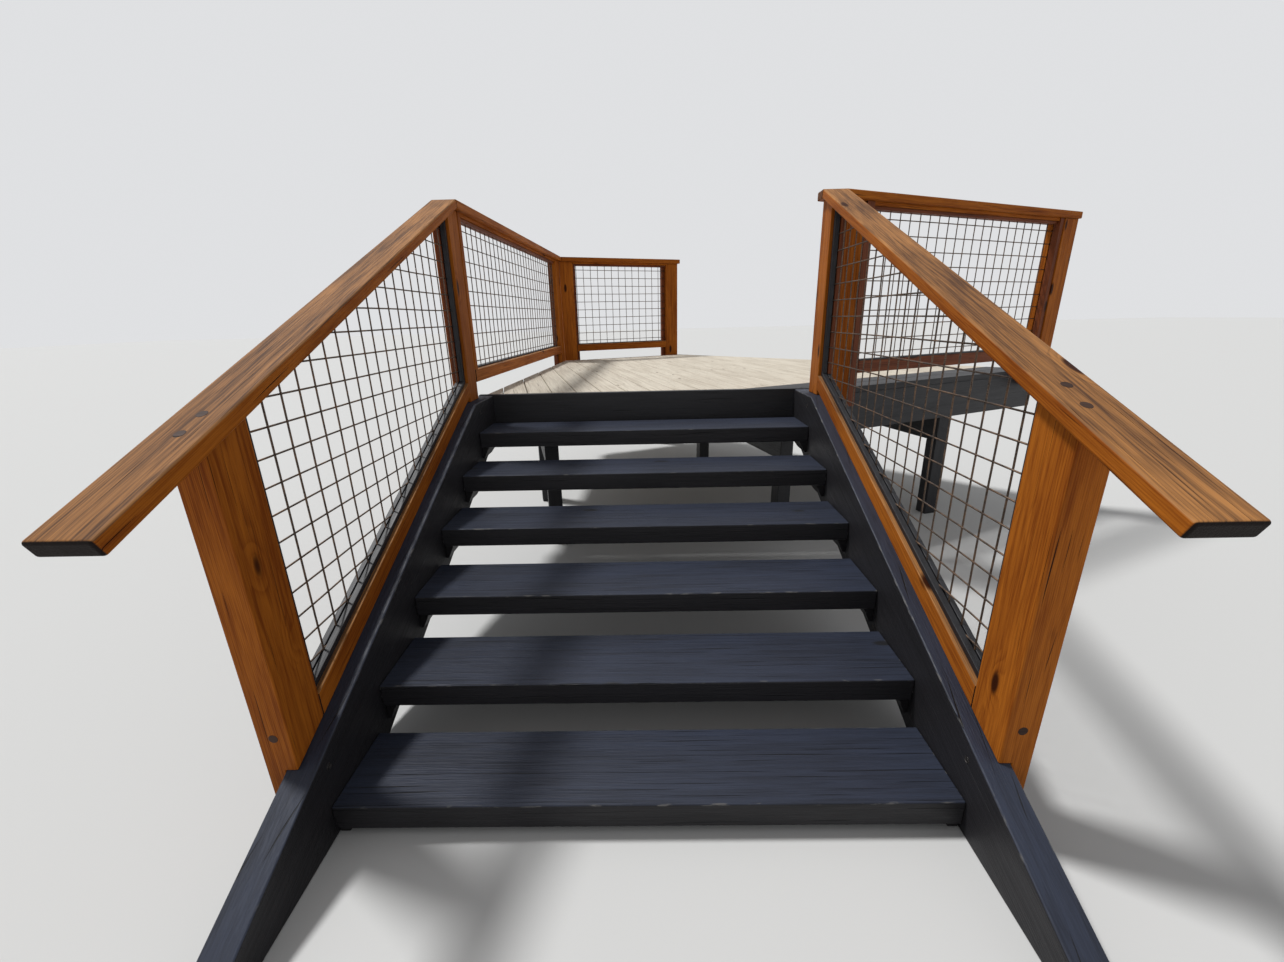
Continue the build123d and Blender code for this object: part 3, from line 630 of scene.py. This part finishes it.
def lay_boards(node, direction, first_edge, material):
    """Boards in place of a slab: strips of its outline, laid in a direction given in degrees.
    The first board's edge is first_edge metres inside the slab's own first edge."""
    slab = slab_outline(node)
    bottom, top = low(node)[2], high(node)[2]
    turn = math.radians(direction)
    along = np.array([math.cos(turn), math.sin(turn)])
    across = np.array([along[1], -along[0]])
    axes = np.array([[*along, 0], [*across, 0], [0, 0, 1]]).T
    shares = slab @ across
    boards = []
    for offset in np.arange(shares.min() + first_edge, shares.max(), BOARD_WIDTH + BOARD_GAP):
        board = cut_outline(slab, offset * across, across)
        if len(board):
            board = cut_outline(board, (offset + BOARD_WIDTH) * across, -across)
        if len(board) > 2 and np.ptp(board @ across) > NARROWEST_BOARD:
            boards.append((*eased_board(board, bottom, top, BOARD_EASE), axes))
    joined(node + "_laid", boards, material, [node])


def longest_side(node):
    """The direction in degrees of a slab's longest edge."""
    slab = slab_outline(node)
    edges = np.roll(slab, -1, axis=0) - slab
    x, y = edges[np.argmax(np.linalg.norm(edges, axis=1))]
    return math.degrees(math.atan2(y, x)) % 180


lay_boards("deck_boards", BOARD_DIRECTION, FIRST_BOARD_EDGE, DECK_WOOD)
lay_boards("deck_border_right", longest_side("deck_border_right"), 0.0, BLACK)

# %% [markdown]
# ## Welded mesh
# The panels are round wires welded where they cross: the upright wires lie on one side and the
# level ones on the other. The CAD model holds them as flat bars in one plane, and the places of
# its bars are read back from it, so each round wire runs where its bar is. A wire is a circle
# carried along a line that wavers by a millimetre, because real mesh is never quite straight.

# %% Wires
WIRE_RADIUS = 0.0029
WIRE_SIDES = 8
WIRE_RINGS = 12
WIRE_WAVER = 0.0011
LAYER_SHIFT = 0.0016
WAVER_PACE = (1.5, 4.5)
FLAT_BAR = 0.005
BAR_TOLERANCE = 6e-4
ON_LINE = 2e-4
FEWEST_POINTS = 8
PATCH_SCALE, SPECK_SCALE = 34.0, 420.0
BRONZE, RUST, BARE_SPECK = (0.050, 0.036, 0.028), (0.155, 0.092, 0.056), (0.30, 0.21, 0.15)

wire_material, pen = new_material("bronze_wire")
spot = pen.node("ShaderNodeTexCoord").outputs["Object"]
patches = pen.step(pen.noise(spot, PATCH_SCALE, 4.0)[0], 0.42, 0.66)
specks = pen.step(pen.noise(spot, SPECK_SCALE, 2.0)[0], 0.45, 0.7)
wire_colour = pen.mix(patches, BRONZE, RUST)
wire_colour = pen.mix(pen.math("MULTIPLY", specks, 0.6), wire_colour, BARE_SPECK)
wire_bump = pen.node("ShaderNodeBump", {"Height": specks, "Distance": 0.0002})
shader = pen.node("ShaderNodeBsdfPrincipled", {
    "Base Color": wire_colour, "Metallic": 0.7, "Normal": wire_bump.outputs[0],
    "Roughness": pen.math("ADD", pen.math("MULTIPLY", patches, 0.2), 0.38)})
pen.node("ShaderNodeOutputMaterial", {"Surface": shader.outputs[0]})


def panel_frame(node):
    """A flat panel's points, its level direction and its normal, found as seen from above."""
    data = nodes[node].data
    points = np.zeros(len(data.vertices) * 3)
    data.vertices.foreach_get("co", points)
    points = points.reshape(-1, 3)
    plan = points[:, :2] - points[:, :2].mean(axis=0)
    level = np.linalg.eigh(plan.T @ plan)[1][:, 1]
    level = np.array([*level, 0])
    normal = np.array([level[1], -level[0], 0])
    return points, level, normal


def bars_along(flat, axis):
    """The bars across one axis of a panel's plane, each as (its middle line, from, to). A bar has
    two long sides, which are lines a bar's width apart with more than a few points on each."""
    sides = []
    for line in np.unique(np.round(flat[:, axis], 4)):
        run = flat[np.abs(flat[:, axis] - line) < ON_LINE, 1 - axis]
        if len(run) > FEWEST_POINTS:
            sides.append((line, run.min(), run.max()))
    bars = []
    for one, two in zip(sides, sides[1:]):
        if abs(two[0] - one[0] - FLAT_BAR) < BAR_TOLERANCE:
            bars.append(((one[0] + two[0]) / 2, min(one[1], two[1]), max(one[2], two[2])))
    return bars


def tubes(starts, ends):
    """Wires: a circle carried from start to end, its centre moved by two slow sine waves that
    fade out at both ends."""
    count = len(starts)
    share = np.linspace(0, 1, WIRE_RINGS)
    axis = ends - starts
    length = np.linalg.norm(axis, axis=1, keepdims=True)
    axis = axis / length
    helper = np.where(np.abs(axis[:, 2:3]) > 0.7, [[1.0, 0, 0]], [[0, 0, 1.0]])
    one = np.cross(axis, helper)
    one /= np.linalg.norm(one, axis=1, keepdims=True)
    two = np.cross(axis, one)
    centre = starts[:, None] + share[None, :, None] * (ends - starts)[:, None]
    phase = random.uniform(0, 2 * math.pi, (2, count, 1))
    pace = random.uniform(*WAVER_PACE, (2, count, 1))
    hold = np.sin(math.pi * share)[None, :]
    shift = WIRE_WAVER * hold * np.sin(pace * share[None, None, :] * 2 + phase)
    centre = (centre + shift[0][..., None] * one[:, None] + shift[1][..., None] * two[:, None])
    angle = np.linspace(0, 2 * math.pi, WIRE_SIDES, endpoint=False)
    circle = (np.cos(angle)[None, None, :, None] * one[:, None, None]
              + np.sin(angle)[None, None, :, None] * two[:, None, None])
    points = centre[:, :, None] + WIRE_RADIUS * circle
    faces = [[corner + wire * WIRE_RINGS * WIRE_SIDES for corner in face]
             for wire in range(count) for face in ring_faces(WIRE_RINGS, WIRE_SIDES)]
    return points.reshape(-1, 3), faces


def wire_panel(node):
    """Round wires in place of a panel's flat bars."""
    points, level, normal = panel_frame(node)
    flat = np.stack([points @ level, points[:, 2]], axis=1)
    depth = (points @ normal).mean()
    starts, ends = [], []
    for line, start, end in bars_along(flat, 0):
        foot = line * level + (depth + LAYER_SHIFT) * normal
        starts.append(foot + [0, 0, start])
        ends.append(foot + [0, 0, end])
    for line, start, end in bars_along(flat, 1):
        row = np.array([0, 0, line]) + (depth - LAYER_SHIFT) * normal
        starts.append(row + start * level)
        ends.append(row + end * level)
    points, faces = tubes(np.array(starts), np.array(ends))
    mesh = bpy.data.meshes.new(node + "_wires")
    mesh.from_pydata(points.tolist(), [], faces)
    mesh.polygons.foreach_set("use_smooth", [True] * len(mesh.polygons))
    finish_piece(bpy.data.objects.new(node + "_wires", mesh), wire_material, [node])
    print(node, "wires", len(starts))


for node in ("stair_mesh_left", "stair_mesh_right", "guard_mesh_left", "guard_mesh_far",
             "guard_mesh_right"):
    wire_panel(node)

# %% [markdown]
# ## Strips that clamp the mesh
# Strips hold the wire panels' edges on both sides. On the stair they follow the slope: each is
# first a level strip, and the slope then raises every point by its distance up the flight. The
# strips beside the wires are black, and the wider uprights outside them are red-brown: the orange
# stain darkened as it looks in shade, which is painted shade. A level guard has a stained strip
# right under its cap, and thinner ones below that in the same painted-shade red-brown.

# %% Clamping strips
INNER_STRIP = 0.022
OUTER_STRIP = 0.018
OUTER_UPRIGHT = 0.028
TOP_STRIP_HEIGHT = 0.018
TOP_STRIP_WIDTH, DARK_STRIP_WIDTH = 0.030, 0.018
PANEL_HALF = 0.003
STRIP_EASE = 0.002
strips_start, strips_end = low("stair_black_strips")[1], high("stair_black_strips")[1]
RUN = strips_end - strips_start
rail_foot = low("stair_bottom_rail_left")[2]
rail_line = high("stair_bottom_rail_left")[2] - SLOPE * RUN
hand_line = high("stair_black_strips")[2] - SLOPE * RUN


def strip(x_range, y_range, bottom, top):
    """A strip over a rectangle from above. Its bottom and top are the heights at the foot, and
    the slope raises them along y."""
    (x0, x1), (y0, y1) = sorted(x_range), y_range
    outline = np.array([[x0, y0], [x1, y0], [x1, y1], [x0, y1]])
    spots, faces = eased_board(outline, bottom, top, STRIP_EASE)
    spots[:, 2] += SLOPE * (spots[:, 1] - strips_start)
    return spots, faces, grain_axes(spots)


def strip_beside(node, side, width, bottom, top):
    """A level strip along a wire panel, on one side of it: 1 or -1 along the panel's normal."""
    points, level, normal = panel_frame(node)
    along = points @ level
    near = (points @ normal).mean() + PANEL_HALF * side
    far = near + width * side
    corners = ((along.min(), near), (along.max(), near), (along.max(), far), (along.min(), far))
    outline = np.array([(share * level + depth * normal)[:2] for share, depth in corners])
    spots, faces = eased_board(anticlockwise(outline), bottom, top, STRIP_EASE)
    return spots, faces, grain_axes(spots)


inner_strips, outer_strips = [], []
for side, inward in (("left", 1.0), ("right", -1.0)):
    faces_x = low(f"stair_mesh_{side}")[0], high(f"stair_mesh_{side}")[0]
    mesh_outer, mesh_inner = faces_x if side == "left" else faces_x[::-1]
    inner = (mesh_inner, mesh_inner + inward * INNER_STRIP)
    outer = (mesh_outer, mesh_outer - inward * OUTER_STRIP)
    upright = (mesh_outer, mesh_outer - inward * OUTER_UPRIGHT)
    whole = (strips_start, strips_end)
    inner_strips += [strip(inner, whole, rail_line, rail_line + INNER_STRIP),
                     strip(outer, whole, rail_foot, rail_line + INNER_STRIP)]
    for start, width in ((strips_start, OUTER_UPRIGHT), (strips_end, -OUTER_UPRIGHT)):
        thin = math.copysign(INNER_STRIP, width)
        inner_strips.append(strip(inner, sorted((start, start + thin)), rail_line + INNER_STRIP,
                                  hand_line))
        outer_strips.append(strip(upright, sorted((start, start + width)),
                                  rail_line + INNER_STRIP, hand_line))
joined("stair_clamping_strips", inner_strips, BLACK,
       ["stair_black_strips"])
joined("stair_outer_uprights", outer_strips, SHADED_ORANGE_STAIN, ["stair_nailers"])

cap_underside = low("guard_cap_left")[2]
seam = cap_underside - TOP_STRIP_HEIGHT
upper_strips, lower_strips = [], []
for node in ("guard_mesh_left", "guard_mesh_far", "guard_mesh_right"):
    for side in (-1, 1):
        upper_strips.append(strip_beside(node, side, TOP_STRIP_WIDTH, seam, cap_underside))
        lower_strips.append(strip_beside(node, side, DARK_STRIP_WIDTH,
                                         seam - TOP_STRIP_HEIGHT, seam))
joined("guard_strips_under_caps", upper_strips, STAINED)
joined("guard_dark_top_strips", lower_strips, SHADED_ORANGE_STAIN)

# %% [markdown]
# ## Plugs and bolts
# Round wooden plugs cover the screws: two on top of each handrail over its lower post, and one in
# the front of each lower post. Black bolt heads sit in the stringers' inner faces; their near-black
# is partly painted shade, standing for the dark of the counterbored holes they sit in. Each is
# turned: a short profile of radius and height is swept round the direction that it faces.

# %% Turned plugs and bolts
TURNED_SIDES = 24
PLUG_RADIUS = 0.013
PLUG_PROFILE = [(1, -0.004), (1, 0), (0.94, 0.0006), (0.5, 0.0008), (0.02, 0.0008)]
BOLT_RADIUS = 0.0105
BOLT_PROFILE = [(1, -0.003), (1, 0.0004), (0.93, 0.0012), (0.80, 0.0012), (0.72, 0.0002),
                (0.40, 0.0002), (0.34, 0.0009), (0.02, 0.0009)]

# Plugs: aside from the rail's middle towards the flight, and up the flight. Bolts: up the flight,
# and height.
RAIL_PLUGS = {"left": ((0.006, -0.025), (0.006, 0.044)),
              "right": ((0.019, 0.010), (0.010, 0.086))}
POST_PLUG_HEIGHT = 0.372
BOLT_SPOTS = [(0.035, 0.228), (1.716, 0.952)]
PLUG_MATERIAL = wood("plug_end_grain", light=(0.060, 0.026, 0.014), dark=(0.025, 0.011, 0.007),
                     knot=(0.02, 0.01, 0.006), ring_width=0.003, roughness=0.6)

# The bolt heads' near-black is partly painted shade of their counterbored holes.
bolt_and_hole_shade_material, pen = new_material("black_bolt_and_hole_shade")
spot = pen.node("ShaderNodeTexCoord").outputs["Object"]
rubbed = pen.step(pen.noise(spot, 260.0)[0], 0.45, 0.65)
shader = pen.node("ShaderNodeBsdfPrincipled", {
    "Base Color": pen.mix(rubbed, (0.014, 0.013, 0.013), (0.09, 0.08, 0.075)),
    "Metallic": 0.6, "Roughness": pen.math("ADD", pen.math("MULTIPLY", rubbed, 0.2), 0.35)})
pen.node("ShaderNodeOutputMaterial", {"Surface": shader.outputs[0]})


def turned(centre, facing, radius, profile):
    """Each ring of a (share of the radius, height) profile swept round the facing direction."""
    facing = facing / np.linalg.norm(facing)
    helper = [0, 0, 1.0] if abs(facing[0]) > 0.7 else [1.0, 0, 0]
    one = np.cross(facing, helper)
    one /= np.linalg.norm(one)
    two = np.cross(facing, one)
    profile = np.array(profile)
    angle = np.linspace(0, 2 * math.pi, TURNED_SIDES, endpoint=False)
    round_it = np.cos(angle)[None, :, None] * one + np.sin(angle)[None, :, None] * two
    rings = (centre + radius * profile[:, 0, None, None] * round_it
             + profile[:, 1, None, None] * facing)
    return rings.reshape(-1, 3), ring_faces(len(profile), TURNED_SIDES)


def turned_set(name, places, radius, profile, material):
    """One piece that holds a turned form at each (centre, facing) place."""
    parts = [(*turned(centre, facing, radius, profile), np.eye(3)) for centre, facing in places]
    joined(name, parts, material)


def rail_top(side, aside, y):
    """The point on a handrail's top, aside from its middle line, at a distance up the flight."""
    corners = np.array([vertex.co[:] for vertex in nodes[f"handrail_{side}"].data.vertices])
    head = corners[corners[:, 2] > corners[:, 2].max() - SAME_HEIGHT]
    middle = (corners[:, 0].min() + corners[:, 0].max()) / 2
    rise = (FLIGHT[1] + y - head[:, 1].min()) * SLOPE
    return np.array([middle + aside, FLIGHT[1] + y, head[:, 2].max() + rise])


plug_places, bolt_places = [], []
off_the_rail = np.array([0, -math.sin(PITCH), math.cos(PITCH)])
for side, inward in (("left", 1.0), ("right", -1.0)):
    for aside, y in RAIL_PLUGS[side]:
        plug_places.append((rail_top(side, inward * aside, y), off_the_rail))
    post = f"lower_post_{side}"
    front = np.array([(low(post)[0] + high(post)[0]) / 2, low(post)[1], POST_PLUG_HEIGHT])
    plug_places.append((front, np.array([0, -1.0, 0])))
    inner_face = high("stringer_left")[0] if side == "left" else low("stringer_right")[0]
    for y, z in BOLT_SPOTS:
        spot = place(0, y, z)
        bolt_places.append((np.array([inner_face, spot[1], spot[2]]), np.array([inward, 0, 0])))
turned_set("screw_plugs", plug_places, PLUG_RADIUS, PLUG_PROFILE, PLUG_MATERIAL)
turned_set("bolt_heads", bolt_places, BOLT_RADIUS, BOLT_PROFILE, bolt_and_hole_shade_material)

# %% [markdown]
# ## Floor, light and background
# The stair stands on a plain pale floor under a soft sky, with one broad sun from the left and a
# little behind, as in the photograph, so that the treads' tops are light and their fronts dark.

# %% Studio
FLOOR_HALF = 60.0
PALE = (0.62, 0.62, 0.61, 1)
SEEN_SKY = 0.765
SUN_FROM = Vector((-0.50, 0.22, 1.0))
SUN_STRENGTH = 2.7
SUN_ANGLE = math.radians(8)
SKY_STRENGTH = 0.38
SKY_COLOUR = (0.97, 0.98, 1.0, 1)

floor_mesh = bpy.data.meshes.new("floor")
corners = [(x * FLOOR_HALF, y * FLOOR_HALF, 0) for x, y in ((-1, -1), (1, -1), (1, 1), (-1, 1))]
floor_mesh.from_pydata(corners, [], [(0, 1, 2, 3)])
floor_material, pen = new_material("pale_floor")
shader = pen.node("ShaderNodeBsdfPrincipled", {"Base Color": PALE, "Roughness": 0.9})
pen.node("ShaderNodeOutputMaterial", {"Surface": shader.outputs[0]})
floor_mesh.materials.append(floor_material)
floor = bpy.data.objects.new("floor", floor_mesh)
bpy.context.scene.collection.objects.link(floor)

sun_data = bpy.data.lights.new("sun", "SUN")
sun_data.energy = SUN_STRENGTH
sun_data.angle = SUN_ANGLE
sun = bpy.data.objects.new("sun", sun_data)
sun.rotation_euler = SUN_FROM.to_track_quat("Z", "Y").to_euler()
bpy.context.scene.collection.objects.link(sun)

world = bpy.data.worlds.new("studio")
bpy.context.scene.world = world
world.use_nodes = True
world.node_tree.nodes.clear()
pen = Shader(world.node_tree)
path = pen.node("ShaderNodeLightPath").outputs
seen = pen.math("MAXIMUM", path["Is Camera Ray"],
                pen.math("MAXIMUM", path["Is Glossy Ray"], path["Is Transmission Ray"]))
strength = pen.math("ADD", pen.math("MULTIPLY", seen, SEEN_SKY - SKY_STRENGTH), SKY_STRENGTH)
sky = pen.node("ShaderNodeBackground", {"Color": SKY_COLOUR, "Strength": strength})
pen.node("ShaderNodeOutputWorld", {"Surface": sky.outputs[0]})
bpy.context.scene.view_settings.view_transform = "Standard"
